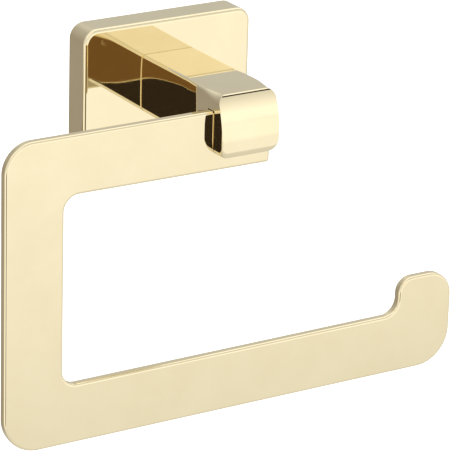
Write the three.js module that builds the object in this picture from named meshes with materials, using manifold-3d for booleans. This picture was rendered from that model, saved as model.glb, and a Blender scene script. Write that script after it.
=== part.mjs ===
// Wall-mounted toilet paper holder: a rectangular rosette over a steel wall bracket, a square arm that
// ends in a hook, and a flat C-shaped roll frame that hangs in the hook's slot.
// Millimetres, +Z up, +X to the right, the wall is the plane y = 0 and the room is on the -Y side.
// The origin is on the wall, at the centre of the rosette.

import * as THREE from 'three';
import { mergeVertices } from 'three/addons/utils/BufferGeometryUtils.js';
import Module from 'manifold-3d';

const wasm = await Module();
wasm.setup();

// ---- driving dimensions ----

// rosette cover
const ROSETTE_WIDTH = 56;
const ROSETTE_HEIGHT = 37.5;
const ROSETTE_DEPTH = 9.2;
const ROSETTE_CORNER_RADIUS = 4.6;
const ROSETTE_EDGE_RADIUS = 1.2;
const COVER_WALL = 2;

// wall bracket and its fixings
const BRACKET_THICKNESS = 1.5;
const BRACKET_SIDE_MARGIN = 1.2;
const BRACKET_FLANGE_DEPTH = 6.5;
const BRACKET_BEND_RADIUS = 1;
const SEAT_RIB_HEIGHT = 3.2;
const SEAT_RIB_WIDTH = 3;
const SEAT_RIB_SPACING = 34;
const SCREW_BOSS_WIDTH = 9;
const WALL_SCREW_SPACING = 24;
const WALL_SCREW_DIAMETER = 3.5;
const WALL_SCREW_LENGTH = 25;
const WALL_SCREW_HEAD_DIAMETER = 7;
const WALL_SCREW_HEAD_HEIGHT = 2.6;
const WALL_SCREW_POINT_LENGTH = 4;
const CROSS_RECESS_WIDTH = 0.9;
const CROSS_RECESS_LENGTH = 4;
const CROSS_RECESS_DEPTH = 1.5;
const WALL_HOLE_DIAMETER = 4.3;
const BRACKET_SLOT_LENGTH = 7;
const PLUG_DIAMETER = 6;
const PLUG_LENGTH = 20;
const PLUG_SINK = 2.2;
const PLUG_COLLAR_DIAMETER = 7.4;
const PLUG_COLLAR_THICKNESS = 0.9;
const PLUG_SPLIT_WIDTH = 1.2;
const PLUG_SPLIT_START = 7;
const PLUG_NOSE_LENGTH = 1.6;
const PLUG_NOSE_CHAMFER = 1;
const PLUG_NOSE_DRAW = 0.5;
const LOCK_SCREW_DIAMETER = 4;
const LOCK_SCREW_RECESS = 0.5;
const LOCK_SCREW_KEY = 2;
const LOCK_SCREW_POINT = 0.6;

// arm and hook
const ARM_WIDTH = 18;
const ARM_HEIGHT = 18;
const HEAD_WIDTH = 19;
const HEAD_RISE = 0.2;
const HEAD_LENGTH = 13.8;
const FLARE_LENGTH = 9;
const HOOK_LIP_DEPTH = 5;
const PROJECTION = 55.8;
const NOSE_RADIUS = 28.8;
const NOSE_LEVEL = -4;
const RIDGE_RADIUS = 0.9;
const ARM_TOP_EDGE_RADIUS = 0.9;
const ARM_BOTTOM_EDGE_RADIUS = 2.6;
const HOOK_FRONT_EDGE_RADIUS = 0.35;
const HOOK_TOP_CORNER_RADIUS = 2.7;
const HOOK_CORNER_RUN = 8;
const HOOK_BOTTOM_RADIUS = 2.2;

// roll frame
const FRAME_THICKNESS = 3;
const FRAME_EDGE_RADIUS = 0.8;
const FRAME_TOP = 4.35;
const FRAME_LEFT = -75.6;
const FRAME_RIGHT = 76.2;
const TOP_BAR_HEIGHT = 17.6;
const TOP_BAR_TAPER = 0.5;
const UPRIGHT_WIDTH = 18.6;
const OPENING_HEIGHT = 56.8;
const LOWER_BAR_HEIGHT = 18.4;
const LOWER_BAR_TAPER = 0.35;
const TIP_WIDTH = 18.9;
const TIP_RISE = 11.2;
const UPPER_CORNER_RADIUS = 9;
const LOWER_CORNER_RADIUS = 11;
const TIP_CORNER_RADIUS = 8;
const TIP_SHOULDER_RADIUS = 5;
const TIP_ROOT_RADIUS = 4.9;
const INNER_CORNER_RADIUS = 4.7;
const TOP_BAR_END_RADIUS = 0.9;
const TOP_BAR_END_OVERHANG = 0.2;

// tie screw, washers and locating pin
const TIE_SCREW_DIAMETER = 4.8;
const TIE_SCREW_LEVEL = -1.5;
const TIE_SCREW_HEAD_DIAMETER = 8.5;
const TIE_SCREW_HEAD_HEIGHT = 3;
const TIE_SCREW_KEY = 4;
const TIE_SCREW_KEY_DEPTH = 1.8;
const TIE_SCREW_CHAMFER = 0.4;
const TIE_SCREW_END_INSET = 0.4;
const WASHER_DIAMETER = 10;
const WASHER_THICKNESS = 1;
const LOCK_WASHER_DIAMETER = 8.8;
const LOCK_WASHER_THICKNESS = 1.2;
const LOCK_WASHER_GAP = 0.8;
const PIN_DIAMETER = 3;
const PIN_LENGTH = 7;
const PIN_LEVEL = 5.2;

// clearances
const SEAT_GAP = 0.05;
const HOLE_CLEARANCE = 0.35;
const SLOT_CLEARANCE = 0.15;
const RIB_CLEARANCE = 0.15;
const SCREW_TIP_GAP = 0.3;

// smoothness
const ROUND_SEGMENTS = 32;
const ARC_STEP = Math.PI / 14;
const EDGE_SEGMENTS = 5;
const PLUG_SEGMENTS = 24;
const FLARE_STATIONS = 6;
const HEAD_STATIONS = 22;
const NOSE_STEPS = 30;
const FRONT_CROWDING = 1.6;

// how far a cutting tool runs past the face that it goes through
const OVERRUN = 1;

// ---- places worked out from the dimensions ----

const coverInnerHalfWidth = ROSETTE_WIDTH / 2 - COVER_WALL;
const coverInnerHalfHeight = ROSETTE_HEIGHT / 2 - COVER_WALL;
const coverInnerFace = COVER_WALL - ROSETTE_DEPTH;
const bracketHalfWidth = coverInnerHalfWidth - BRACKET_SIDE_MARGIN;
const bracketHalfHeight = coverInnerHalfHeight - SEAT_RIB_HEIGHT - RIB_CLEARANCE;
const armRear = -ROSETTE_DEPTH - SEAT_GAP;
const armTop = ARM_HEIGHT / 2;
const noseRise = armTop + HEAD_RISE - NOSE_LEVEL;
const noseDepth = NOSE_RADIUS - Math.sqrt(NOSE_RADIUS * NOSE_RADIUS - noseRise * noseRise);
const noseLength = noseDepth + 2 * RIDGE_RADIUS;
const frameFront = PROJECTION - HOOK_LIP_DEPTH;
const frameBack = FRAME_THICKNESS - frameFront;
const flareEnd = PROJECTION - HEAD_LENGTH;
const flareStart = flareEnd - FLARE_LENGTH;
const hookSampledLength = HEAD_LENGTH - 0.5;
const washerSeat = coverInnerFace + SEAT_GAP;
const lockWasherSeat = washerSeat + WASHER_THICKNESS + SEAT_GAP;
const tieHeadSeat = lockWasherSeat + LOCK_WASHER_THICKNESS + SEAT_GAP;
const frameRightEnd = HEAD_WIDTH / 2 + TOP_BAR_END_OVERHANG;
const frameBottom = FRAME_TOP - TOP_BAR_HEIGHT - OPENING_HEIGHT - LOWER_BAR_HEIGHT;

// ---- materials ----

const gold = { color: 0xf0d795, roughness: 0.08, metalness: 1 };
const zincSteel = { color: 0xb9bcc0, roughness: 0.35, metalness: 1 };
const darkSteel = { color: 0x4a4a4c, roughness: 0.45, metalness: 1 };
const nylon = { color: 0xc9c7c0, roughness: 0.6, metalness: 0 };

// ---- solid modelling helpers ----

function solidFromGeometry(geometry) {
  const bare = new THREE.BufferGeometry();
  bare.setAttribute('position', geometry.getAttribute('position').clone());
  if (geometry.index) bare.setIndex(geometry.index.clone());
  const merged = mergeVertices(bare, 1e-4);
  return new wasm.Manifold(new wasm.Mesh({
    numProp: 3,
    vertProperties: new Float32Array(merged.getAttribute('position').array),
    triVerts: new Uint32Array(merged.index.array),
  }));
}

function namedMesh(name, solid, finish) {
  const result = solid.getMesh();
  const geometry = new THREE.BufferGeometry();
  geometry.setAttribute('position', new THREE.BufferAttribute(result.vertProperties, 3));
  geometry.setIndex(new THREE.BufferAttribute(result.triVerts, 1));
  geometry.computeVertexNormals();
  const mesh = new THREE.Mesh(geometry, new THREE.MeshStandardMaterial(finish));
  mesh.name = name;
  return mesh;
}

// A box between two corners.
function block(low, high) {
  const size = high.map((value, axis) => value - low[axis]);
  const centre = high.map((value, axis) => (value + low[axis]) / 2);
  const geometry = new THREE.BoxGeometry(...size);
  geometry.translate(...centre);
  return solidFromGeometry(geometry);
}

// A body turned about a line parallel to Y through (x, z). The profile lists [radius, y] and starts
// and ends on the axis, or closes on itself.
function turned(profile, x, z, segments = ROUND_SEGMENTS) {
  const points = profile.map(([radius, y]) => new THREE.Vector2(radius, y));
  const geometry = new THREE.LatheGeometry(points, segments);
  geometry.translate(x, 0, z);
  return solidFromGeometry(geometry);
}

// A round bar along Y from yLow to yHigh.
function roundBar(diameter, yLow, yHigh, x, z, segments = ROUND_SEGMENTS) {
  const radius = diameter / 2;
  return turned([[0, yLow], [radius, yLow], [radius, yHigh], [0, yHigh]], x, z, segments);
}

// A closed outline in a plane, each corner given as [x, z, radius], with true arcs at the corners.
function roundedOutline(corners) {
  const shape = new THREE.Shape();
  const count = corners.length;
  corners.forEach(([x, z, radius], index) => {
    const here = new THREE.Vector2(x, z);
    const before = new THREE.Vector2(...corners[(index + count - 1) % count]);
    const after = new THREE.Vector2(...corners[(index + 1) % count]);
    const inward = before.sub(here).normalize();
    const outward = after.sub(here).normalize();
    const halfAngle = Math.acos(THREE.MathUtils.clamp(inward.dot(outward), -1, 1)) / 2;
    const reach = radius / Math.tan(halfAngle);
    const start = here.clone().addScaledVector(inward, reach);
    const end = here.clone().addScaledVector(outward, reach);
    const bisector = inward.clone().add(outward).normalize();
    const centre = here.clone().addScaledVector(bisector, radius / Math.sin(halfAngle));
    const from = Math.atan2(start.y - centre.y, start.x - centre.x);
    const to = Math.atan2(end.y - centre.y, end.x - centre.x);
    const turn = Math.atan2(Math.sin(to - from), Math.cos(to - from));
    const steps = Math.max(2, Math.round(Math.abs(turn) / ARC_STEP));
    for (let step = 0; step <= steps; step += 1) {
      const angle = from + (turn * step) / steps;
      const px = centre.x + radius * Math.cos(angle);
      const pz = centre.y + radius * Math.sin(angle);
      if (index === 0 && step === 0) shape.moveTo(px, pz);
      else shape.lineTo(px, pz);
    }
  });
  shape.closePath();
  return shape;
}

// A plate whose outline lies in the XZ plane, from the plane y = back forward by its thickness.
function plate(outline, back, thickness, edgeRadius) {
  const geometry = new THREE.ExtrudeGeometry(outline, {
    depth: thickness - 2 * edgeRadius,
    bevelEnabled: edgeRadius > 0,
    bevelThickness: edgeRadius,
    bevelSize: edgeRadius,
    bevelOffset: -edgeRadius,
    bevelSegments: 3,
    curveSegments: 1,
    steps: 1,
  });
  geometry.rotateX(Math.PI / 2);
  geometry.translate(0, back - edgeRadius, 0);
  return solidFromGeometry(geometry);
}

// A rounded rectangle in the XZ plane as a ring of points, anticlockwise seen from the room.
function ring(halfWidth, bottom, top, bottomRadius, topRadius) {
  const points = [];
  const corners = [
    [halfWidth, bottom, bottomRadius, -Math.PI / 2],
    [halfWidth, top, topRadius, 0],
    [-halfWidth, top, topRadius, Math.PI / 2],
    [-halfWidth, bottom, bottomRadius, Math.PI],
  ];
  for (const [x, z, radius, start] of corners) {
    const cx = x - Math.sign(x) * radius;
    const cz = z === top ? top - radius : bottom + radius;
    for (let step = 0; step <= EDGE_SEGMENTS; step += 1) {
      const angle = start + (Math.PI / 2) * (step / EDGE_SEGMENTS);
      points.push([cx + radius * Math.cos(angle), cz + radius * Math.sin(angle)]);
    }
  }
  return points;
}

// A solid skinned over rings at rising distances from the wall, closed by a fan at each end.
function loft(stations) {
  const count = stations[0].points.length;
  const positions = [];
  const index = [];
  for (const { distance, points } of stations) {
    for (const [x, z] of points) positions.push(x, -distance, z);
  }
  for (let station = 0; station < stations.length - 1; station += 1) {
    for (let point = 0; point < count; point += 1) {
      const next = (point + 1) % count;
      const a = station * count + point;
      const b = station * count + next;
      const c = a + count;
      const d = b + count;
      index.push(a, b, d, a, d, c);
    }
  }
  const ends = [[0, 1], [stations.length - 1, -1]];
  for (const [station, side] of ends) {
    const { distance, points } = stations[station];
    const centreX = points.reduce((sum, [x]) => sum + x, 0) / count;
    const centreZ = points.reduce((sum, [, z]) => sum + z, 0) / count;
    const centre = positions.length / 3;
    positions.push(centreX, -distance, centreZ);
    for (let point = 0; point < count; point += 1) {
      const here = station * count + point;
      const next = station * count + ((point + 1) % count);
      if (side > 0) index.push(centre, next, here);
      else index.push(centre, here, next);
    }
  }
  const geometry = new THREE.BufferGeometry();
  geometry.setAttribute('position', new THREE.Float32BufferAttribute(positions, 3));
  geometry.setIndex(index);
  return solidFromGeometry(geometry);
}

// How far a quarter-round edge of this radius has drawn in at a distance past its start.
function roundInset(radius, past) {
  if (past <= 0) return 0;
  const reach = Math.min(past, radius);
  return radius - Math.sqrt(radius * radius - reach * reach);
}

// The lower of two heights, blended over a rounding radius where they cross.
function softMinimum(a, b, radius) {
  const blend = Math.max(radius - Math.abs(a - b), 0) / radius;
  return Math.min(a, b) - (blend * blend * radius) / 4;
}

// A six-sided key recess along Y.
function hexRecess(acrossFlats, yLow, yHigh, x, z) {
  return roundBar(acrossFlats / Math.cos(Math.PI / 6), yLow, yHigh, x, z, 6);
}

// A cross recess in a screw head that faces -Y.
function crossRecess(width, length, yLow, yHigh, x, z) {
  const across = block([x - length / 2, yLow, z - width / 2], [x + length / 2, yHigh, z + width / 2]);
  const upright = block([x - width / 2, yLow, z - length / 2], [x + width / 2, yHigh, z + length / 2]);
  return across.add(upright);
}

// ---- sub-parts ----

function rosetteCover() {
  const stations = [];
  const flat = ROSETTE_DEPTH - ROSETTE_EDGE_RADIUS;
  const distances = [0, flat];
  for (let step = 1; step <= EDGE_SEGMENTS; step += 1) {
    distances.push(flat + ROSETTE_EDGE_RADIUS * Math.sin((step / EDGE_SEGMENTS) * (Math.PI / 2)));
  }
  for (const distance of distances) {
    const inset = roundInset(ROSETTE_EDGE_RADIUS, distance - flat);
    const half = ROSETTE_HEIGHT / 2 - inset;
    const radius = ROSETTE_CORNER_RADIUS - inset;
    stations.push({ distance, points: ring(ROSETTE_WIDTH / 2 - inset, -half, half, radius, radius) });
  }
  let solid = loft(stations);
  const innerRadius = Math.max(ROSETTE_CORNER_RADIUS - COVER_WALL, 0.5);
  const hollow = [-OVERRUN, -coverInnerFace].map((distance) => ({
    distance,
    points: ring(coverInnerHalfWidth, -coverInnerHalfHeight, coverInnerHalfHeight, innerRadius, innerRadius),
  }));
  solid = solid.subtract(loft(hollow));
  const ribRoot = coverInnerHalfHeight + COVER_WALL / 2;
  const ribFoot = coverInnerHalfHeight - SEAT_RIB_HEIGHT;
  const ribBack = -BRACKET_THICKNESS;
  const ribFront = coverInnerFace - COVER_WALL / 2;
  for (const side of [-1, 1]) {
    const x = (side * SEAT_RIB_SPACING) / 2;
    const low = [x - SEAT_RIB_WIDTH / 2, ribFront, ribFoot];
    solid = solid.add(block(low, [x + SEAT_RIB_WIDTH / 2, ribBack, ribRoot]));
  }
  const bossLow = [-SCREW_BOSS_WIDTH / 2, ribFront, -ribRoot];
  solid = solid.add(block(bossLow, [SCREW_BOSS_WIDTH / 2, ribBack, -ribFoot]));
  const throughFront = -ROSETTE_DEPTH - OVERRUN;
  const throughBack = coverInnerFace + OVERRUN;
  const tieHole = TIE_SCREW_DIAMETER + 2 * HOLE_CLEARANCE;
  const pinHole = PIN_DIAMETER + 2 * HOLE_CLEARANCE;
  solid = solid.subtract(roundBar(tieHole, throughFront, throughBack, 0, TIE_SCREW_LEVEL));
  solid = solid.subtract(roundBar(pinHole, throughFront, throughBack, 0, PIN_LEVEL));
  return solid.subtract(lockScrewHole());
}

const lockScrewPlace = -(BRACKET_THICKNESS + BRACKET_FLANGE_DEPTH) / 2;

function uprightBar(diameter, zLow, zHigh, segments = ROUND_SEGMENTS) {
  const geometry = new THREE.CylinderGeometry(diameter / 2, diameter / 2, zHigh - zLow, segments);
  geometry.rotateX(Math.PI / 2);
  geometry.translate(0, lockScrewPlace, (zLow + zHigh) / 2);
  return solidFromGeometry(geometry);
}

function lockScrewHole() {
  const diameter = LOCK_SCREW_DIAMETER + 2 * HOLE_CLEARANCE;
  return uprightBar(diameter, -ROSETTE_HEIGHT / 2 - OVERRUN, -bracketHalfHeight);
}

function coverLockScrew() {
  const foot = -ROSETTE_HEIGHT / 2 + LOCK_SCREW_RECESS;
  const tip = -bracketHalfHeight - SCREW_TIP_GAP;
  const shoulder = tip - LOCK_SCREW_POINT;
  const shank = uprightBar(LOCK_SCREW_DIAMETER, foot, shoulder);
  const point = uprightBar(LOCK_SCREW_DIAMETER - 2 * LOCK_SCREW_POINT, shoulder, tip);
  const keyAcrossCorners = LOCK_SCREW_KEY / Math.cos(Math.PI / 6);
  const key = uprightBar(keyAcrossCorners, foot - OVERRUN, foot + LOCK_SCREW_KEY, 6);
  return shank.add(point).subtract(key);
}

function wallBracket() {
  const t = BRACKET_THICKNESS;
  const half = bracketHalfHeight;
  const lip = BRACKET_FLANGE_DEPTH;
  const bend = BRACKET_BEND_RADIUS;
  // the channel's section, given as [y, z]
  const section = roundedOutline([
    [0, -half, bend + t / 2],
    [-lip, -half, t / 3],
    [-lip, t - half, t / 3],
    [-t, t - half, bend / 2],
    [-t, half - t, bend / 2],
    [-lip, half - t, t / 3],
    [-lip, half, t / 3],
    [0, half, bend + t / 2],
  ]);
  const geometry = new THREE.ExtrudeGeometry(section, {
    depth: 2 * bracketHalfWidth, bevelEnabled: false, curveSegments: 1, steps: 1,
  });
  // the extrusion runs along X, and the section stands in the YZ plane
  geometry.applyMatrix4(new THREE.Matrix4().set(
    0, 0, 1, -bracketHalfWidth,
    1, 0, 0, 0,
    0, 1, 0, 0,
    0, 0, 0, 1,
  ));
  let solid = solidFromGeometry(geometry);
  const left = -WALL_SCREW_SPACING / 2;
  const right = WALL_SCREW_SPACING / 2;
  solid = solid.subtract(roundBar(WALL_HOLE_DIAMETER, -t - OVERRUN, OVERRUN, left, 0));
  // the right hole is a level slot, so the bracket can be trued up on the wall
  const run = (BRACKET_SLOT_LENGTH - WALL_HOLE_DIAMETER) / 2;
  solid = solid.subtract(roundBar(WALL_HOLE_DIAMETER, -t - OVERRUN, OVERRUN, right - run, 0));
  solid = solid.subtract(roundBar(WALL_HOLE_DIAMETER, -t - OVERRUN, OVERRUN, right + run, 0));
  const slotLow = [right - run, -t - OVERRUN, -WALL_HOLE_DIAMETER / 2];
  return solid.subtract(block(slotLow, [right + run, OVERRUN, WALL_HOLE_DIAMETER / 2]));
}

function wallScrew(x) {
  const seat = -BRACKET_THICKNESS - SEAT_GAP;
  const crown = seat - WALL_SCREW_HEAD_HEIGHT;
  const headRadius = WALL_SCREW_HEAD_DIAMETER / 2;
  const shankRadius = WALL_SCREW_DIAMETER / 2;
  const end = seat + WALL_SCREW_LENGTH;
  // the pan head's crown, shoulder and rim as parts of its radius and height
  const profile = [
    [0, crown],
    [headRadius * 0.62, crown],
    [headRadius * 0.86, crown + WALL_SCREW_HEAD_HEIGHT * 0.18],
    [headRadius, crown + WALL_SCREW_HEAD_HEIGHT * 0.55],
    [headRadius, seat],
    [shankRadius, seat],
    [shankRadius, end - WALL_SCREW_POINT_LENGTH],
    [0, end],
  ];
  const recessFloor = crown + CROSS_RECESS_DEPTH;
  const recess = crossRecess(CROSS_RECESS_WIDTH, CROSS_RECESS_LENGTH, crown - OVERRUN, recessFloor, x, 0);
  return turned(profile, x, 0).subtract(recess);
}

function wallPlug(x) {
  const radius = PLUG_DIAMETER / 2;
  const bore = WALL_SCREW_DIAMETER / 2 + HOLE_CLEARANCE;
  const start = PLUG_SINK;
  const end = start + PLUG_LENGTH;
  const collar = start + PLUG_COLLAR_THICKNESS;
  const profile = [
    [bore, start],
    [PLUG_COLLAR_DIAMETER / 2, start],
    [PLUG_COLLAR_DIAMETER / 2, collar],
    [radius, collar],
    [radius, end - PLUG_NOSE_CHAMFER],
    [radius - PLUG_NOSE_DRAW, end],
    [bore, end],
    [bore, start],
  ];
  const splitLow = [x - PLUG_DIAMETER, start + PLUG_SPLIT_START, -PLUG_SPLIT_WIDTH / 2];
  const split = block(splitLow, [x + PLUG_DIAMETER, end - PLUG_NOSE_LENGTH, PLUG_SPLIT_WIDTH / 2]);
  return turned(profile, x, 0, PLUG_SEGMENTS).subtract(split);
}

// One cross section of the arm at a distance from the wall.
function armSection(distance) {
  const flare = THREE.MathUtils.smoothstep(distance, flareStart, flareEnd);
  const pastEdge = distance - (PROJECTION - HOOK_FRONT_EDGE_RADIUS);
  const pastBottom = distance - (PROJECTION - HOOK_BOTTOM_RADIUS);
  const neckHalf = ARM_WIDTH / 2;
  const headHalf = HEAD_WIDTH / 2;
  const half = neckHalf + (headHalf - neckHalf) * flare - roundInset(HOOK_FRONT_EDGE_RADIUS, pastEdge);
  const bottom = -armTop + roundInset(HOOK_BOTTOM_RADIUS, pastBottom);
  const top = armTop + HEAD_RISE * flare;
  const ridge = PROJECTION - noseLength;
  const growth = THREE.MathUtils.smoothstep(distance, ridge - HOOK_CORNER_RUN, ridge);
  const topRadius = ARM_TOP_EDGE_RADIUS + (HOOK_TOP_CORNER_RADIUS - ARM_TOP_EDGE_RADIUS) * growth;
  return { distance, points: ring(half, bottom, top, ARM_BOTTOM_EDGE_RADIUS, topRadius) };
}

// The space that the arm may fill in side view: level on top, then round the nose to the front.
function noseEnvelope() {
  const shape = new THREE.Shape();
  shape.moveTo(0, -ARM_HEIGHT);
  shape.lineTo(PROJECTION, -ARM_HEIGHT);
  for (let step = 0; step <= NOSE_STEPS; step += 1) {
    const distance = PROJECTION - noseLength * (step / NOSE_STEPS) ** FRONT_CROWDING;
    const fromCentre = distance - (PROJECTION - NOSE_RADIUS);
    const fall = Math.sqrt(Math.max(NOSE_RADIUS * NOSE_RADIUS - fromCentre * fromCentre, 0));
    shape.lineTo(distance, softMinimum(armTop + HEAD_RISE, NOSE_LEVEL + fall, RIDGE_RADIUS));
  }
  shape.lineTo(PROJECTION - noseLength, ARM_HEIGHT);
  shape.lineTo(0, ARM_HEIGHT);
  shape.closePath();
  const geometry = new THREE.ExtrudeGeometry(shape, { depth: 2 * HEAD_WIDTH, bevelEnabled: false, steps: 1 });
  // the extrusion runs along X, and the side view stands in the YZ plane with the room on -Y
  geometry.applyMatrix4(new THREE.Matrix4().set(
    0, 0, -1, HEAD_WIDTH,
    -1, 0, 0, 0,
    0, 1, 0, 0,
    0, 0, 0, 1,
  ));
  return solidFromGeometry(geometry);
}

function hookArm() {
  const stations = [armSection(-armRear)];
  for (let step = 0; step <= FLARE_STATIONS; step += 1) {
    stations.push(armSection(flareStart + ((flareEnd - flareStart) * step) / FLARE_STATIONS));
  }
  // the corners are sampled more closely towards the front, where they turn downwards
  for (let step = 0; step <= HEAD_STATIONS; step += 1) {
    const left = 1 - step / HEAD_STATIONS;
    stations.push(armSection(PROJECTION - hookSampledLength * left ** FRONT_CROWDING));
  }
  let solid = loft(stations).intersect(noseEnvelope());
  const slotLow = [-HEAD_WIDTH, -frameFront - SLOT_CLEARANCE, -ARM_HEIGHT];
  const slotHigh = [HEAD_WIDTH, frameBack + SLOT_CLEARANCE, FRAME_TOP + SLOT_CLEARANCE];
  solid = solid.subtract(block(slotLow, slotHigh));
  const tieBore = TIE_SCREW_DIAMETER + 2 * HOLE_CLEARANCE;
  const pinBore = PIN_DIAMETER + 2 * HOLE_CLEARANCE;
  solid = solid.subtract(roundBar(tieBore, frameBack - OVERRUN, 0, 0, TIE_SCREW_LEVEL));
  const pinEnd = coverInnerFace - PIN_LENGTH - HOLE_CLEARANCE;
  return solid.subtract(roundBar(pinBore, pinEnd, 0, 0, PIN_LEVEL));
}

function tieScrew() {
  const headRadius = TIE_SCREW_HEAD_DIAMETER / 2;
  const shankRadius = TIE_SCREW_DIAMETER / 2;
  const crown = tieHeadSeat + TIE_SCREW_HEAD_HEIGHT;
  const end = TIE_SCREW_END_INSET - frameFront;
  const profile = [
    [0, end],
    [shankRadius - TIE_SCREW_CHAMFER, end],
    [shankRadius, end + TIE_SCREW_CHAMFER],
    [shankRadius, tieHeadSeat],
    [headRadius, tieHeadSeat],
    [headRadius, crown - TIE_SCREW_CHAMFER],
    [headRadius - TIE_SCREW_CHAMFER, crown],
    [0, crown],
  ];
  const keyFloor = crown - TIE_SCREW_KEY_DEPTH;
  const recess = hexRecess(TIE_SCREW_KEY, keyFloor, crown + OVERRUN, 0, TIE_SCREW_LEVEL);
  return turned(profile, 0, TIE_SCREW_LEVEL).subtract(recess);
}

function washer(diameter, seat, thickness) {
  const hole = TIE_SCREW_DIAMETER + 2 * HOLE_CLEARANCE;
  const disc = roundBar(diameter, seat, seat + thickness, 0, TIE_SCREW_LEVEL);
  return disc.subtract(roundBar(hole, seat - OVERRUN, seat + thickness + OVERRUN, 0, TIE_SCREW_LEVEL));
}

function lockWasher() {
  const ringBody = washer(LOCK_WASHER_DIAMETER, lockWasherSeat, LOCK_WASHER_THICKNESS);
  const low = [-LOCK_WASHER_GAP / 2, lockWasherSeat - OVERRUN, TIE_SCREW_LEVEL];
  const behind = lockWasherSeat + LOCK_WASHER_THICKNESS + OVERRUN;
  const high = [LOCK_WASHER_GAP / 2, behind, TIE_SCREW_LEVEL + LOCK_WASHER_DIAMETER];
  return ringBody.subtract(block(low, high));
}

function locatingPin() {
  return roundBar(PIN_DIAMETER, coverInnerFace - PIN_LENGTH, coverInnerFace, 0, PIN_LEVEL);
}

function rollFrame() {
  const innerLeft = FRAME_LEFT + UPRIGHT_WIDTH;
  const tipLeft = FRAME_RIGHT - TIP_WIDTH;
  const barUnder = FRAME_TOP - TOP_BAR_HEIGHT;
  const lowerTop = frameBottom + LOWER_BAR_HEIGHT;
  const tipTop = lowerTop + TIP_RISE;
  const outline = roundedOutline([
    [FRAME_LEFT, FRAME_TOP, UPPER_CORNER_RADIUS],
    [FRAME_LEFT, frameBottom, LOWER_CORNER_RADIUS],
    [FRAME_RIGHT, frameBottom, LOWER_CORNER_RADIUS],
    [FRAME_RIGHT, tipTop, TIP_CORNER_RADIUS],
    [tipLeft, tipTop, TIP_SHOULDER_RADIUS],
    [tipLeft, lowerTop, TIP_ROOT_RADIUS],
    [innerLeft, lowerTop - LOWER_BAR_TAPER, INNER_CORNER_RADIUS],
    [innerLeft, barUnder, INNER_CORNER_RADIUS],
    [frameRightEnd, barUnder - TOP_BAR_TAPER, TOP_BAR_END_RADIUS],
    [frameRightEnd, FRAME_TOP, TOP_BAR_END_RADIUS],
  ]);
  const solid = plate(outline, frameBack, FRAME_THICKNESS, FRAME_EDGE_RADIUS);
  const hole = TIE_SCREW_DIAMETER + 2 * HOLE_CLEARANCE;
  return solid.subtract(roundBar(hole, -frameFront - OVERRUN, frameBack + OVERRUN, 0, TIE_SCREW_LEVEL));
}

// ---- assembly ----

const holder = new THREE.Group();
const screwX = WALL_SCREW_SPACING / 2;

holder.add(namedMesh('wall_bracket', wallBracket(), zincSteel));
holder.add(namedMesh('wall_screw_left', wallScrew(-screwX), zincSteel));
holder.add(namedMesh('wall_screw_right', wallScrew(screwX), zincSteel));
holder.add(namedMesh('wall_plug_left', wallPlug(-screwX), nylon));
holder.add(namedMesh('wall_plug_right', wallPlug(screwX), nylon));
holder.add(namedMesh('rosette_cover', rosetteCover(), gold));
holder.add(namedMesh('cover_lock_screw', coverLockScrew(), darkSteel));
holder.add(namedMesh('hook_arm', hookArm(), gold));
holder.add(namedMesh('locating_pin', locatingPin(), zincSteel));
holder.add(namedMesh('tie_screw', tieScrew(), zincSteel));
holder.add(namedMesh('tie_screw_washer', washer(WASHER_DIAMETER, washerSeat, WASHER_THICKNESS), zincSteel));
holder.add(namedMesh('tie_screw_lock_washer', lockWasher(), darkSteel));
holder.add(namedMesh('roll_frame', rollFrame(), gold));

export default holder;
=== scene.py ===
import math

import bmesh
import bpy
from mathutils import Matrix, Vector
from mathutils.bvhtree import BVHTree
from mathutils.geometry import delaunay_2d_cdt


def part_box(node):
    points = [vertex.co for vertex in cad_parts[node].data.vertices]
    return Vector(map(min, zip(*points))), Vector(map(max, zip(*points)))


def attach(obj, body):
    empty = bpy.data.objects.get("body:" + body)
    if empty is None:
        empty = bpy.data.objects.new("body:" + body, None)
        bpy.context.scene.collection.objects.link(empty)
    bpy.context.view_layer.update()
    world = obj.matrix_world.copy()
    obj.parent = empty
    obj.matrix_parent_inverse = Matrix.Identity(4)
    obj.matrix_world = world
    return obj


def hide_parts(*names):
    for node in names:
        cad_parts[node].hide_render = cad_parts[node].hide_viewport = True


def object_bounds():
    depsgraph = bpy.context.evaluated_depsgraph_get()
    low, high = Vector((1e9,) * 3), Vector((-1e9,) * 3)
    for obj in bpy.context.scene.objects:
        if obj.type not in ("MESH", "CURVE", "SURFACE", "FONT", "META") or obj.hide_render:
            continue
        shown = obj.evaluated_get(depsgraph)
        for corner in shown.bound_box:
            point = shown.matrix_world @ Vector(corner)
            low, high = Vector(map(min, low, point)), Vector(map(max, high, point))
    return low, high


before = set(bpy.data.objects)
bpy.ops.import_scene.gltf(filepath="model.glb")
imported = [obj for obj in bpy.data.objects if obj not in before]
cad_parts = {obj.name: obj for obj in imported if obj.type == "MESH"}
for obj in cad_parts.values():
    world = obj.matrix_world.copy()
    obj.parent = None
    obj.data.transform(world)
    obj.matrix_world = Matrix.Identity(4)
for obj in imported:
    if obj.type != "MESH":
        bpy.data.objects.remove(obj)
cad_low, cad_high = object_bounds()

# ---- sizes in metres ----

MM = 0.001

COVER_LOW, COVER_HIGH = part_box("rosette_cover")
ARM_LOW, ARM_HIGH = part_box("hook_arm")
PLATE_LOW, PLATE_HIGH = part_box("roll_frame")
TIE_LOW, TIE_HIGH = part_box("tie_screw")
PIN_LOW, PIN_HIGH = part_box("locating_pin")
LOCK_LOW, LOCK_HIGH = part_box("cover_lock_screw")

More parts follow.
